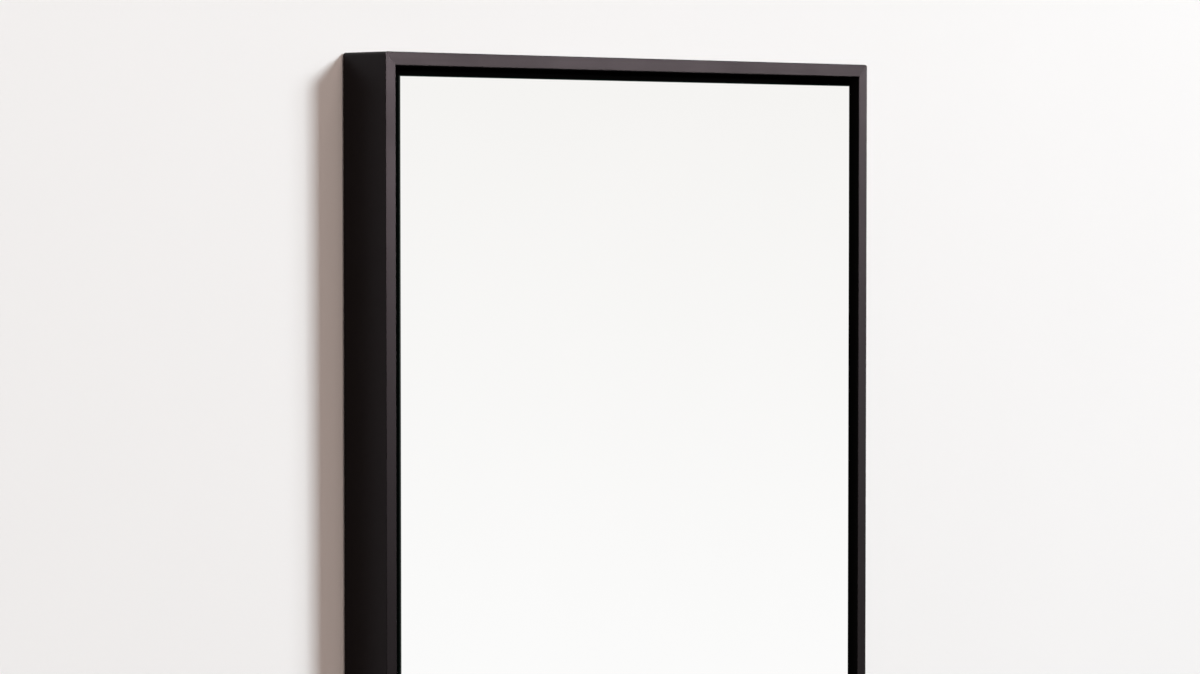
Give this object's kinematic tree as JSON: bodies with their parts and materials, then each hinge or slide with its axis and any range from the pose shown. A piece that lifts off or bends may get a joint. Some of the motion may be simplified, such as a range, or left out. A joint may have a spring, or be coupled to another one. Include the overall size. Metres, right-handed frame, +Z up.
{
  "type": "wall mirror",
  "caption": "Rectangular wall mirror: silvered glass floating in a deep, thin, mitred dark metal frame, hung on interlocking bars that the frame hides.",
  "frame": {"origin": "middle of the wall bar's row of screw holes, on the wall plane", "axes": "+X to the right of a person who looks into the glass, +Y into the wall, so that the glass faces -Y, +Z up"},
  "size_m": [0.61, 0.057, 0.914],
  "materials": {
    "frame_finish": "satin dark bronze-grey coating on extruded aluminium",
    "key_metal": "mill finish",
    "black_screw": "black oxide steel",
    "mirror_glass": "clear float glass with polished edges",
    "silvering": "silvering with a protective paint behind it",
    "foam_tape": "white foam tape",
    "mastic": "cured mastic",
    "board": "medium-density fibreboard",
    "timber": "planed softwood",
    "zinc_screw": "zinc-plated steel",
    "bar_metal": "extruded aluminium, mill finish",
    "bumper_rubber": "black rubber"
  },
  "bodies": {
    "wall_bar": {"wall_cleat": "bar_metal"},
    "mirror": {"top_rail": "frame_finish", "bottom_rail": "frame_finish", "left_stile": "frame_finish", "right_stile": "frame_finish", "corner_key_top_left": "key_metal", "corner_key_top_right": "key_metal", "corner_key_bottom_left": "key_metal", "corner_key_bottom_right": "key_metal", "strainer_top": "timber", "strainer_bottom": "timber", "strainer_left": "timber", "strainer_right": "timber", "strainer_crossbar": "timber", "corner_screws": "black_screw", "mirror_glass": "mirror_glass", "silver_layer": "silvering", "mirror_tape": "foam_tape", "mirror_mastic": "mastic", "backing_board": "board", "board_screws": "zinc_screw", "strainer_screws": "zinc_screw", "frame_screws": "zinc_screw", "cleat_screws": "zinc_screw", "frame_cleat": "bar_metal", "bumpers": "bumper_rubber"}
  },
  "joints": [
    {"name": "lift_off", "type": "slide", "parent": "wall_bar", "child": "mirror", "axis": [0, 0, 1], "range_m": [0, 0.012]}
  ]
}
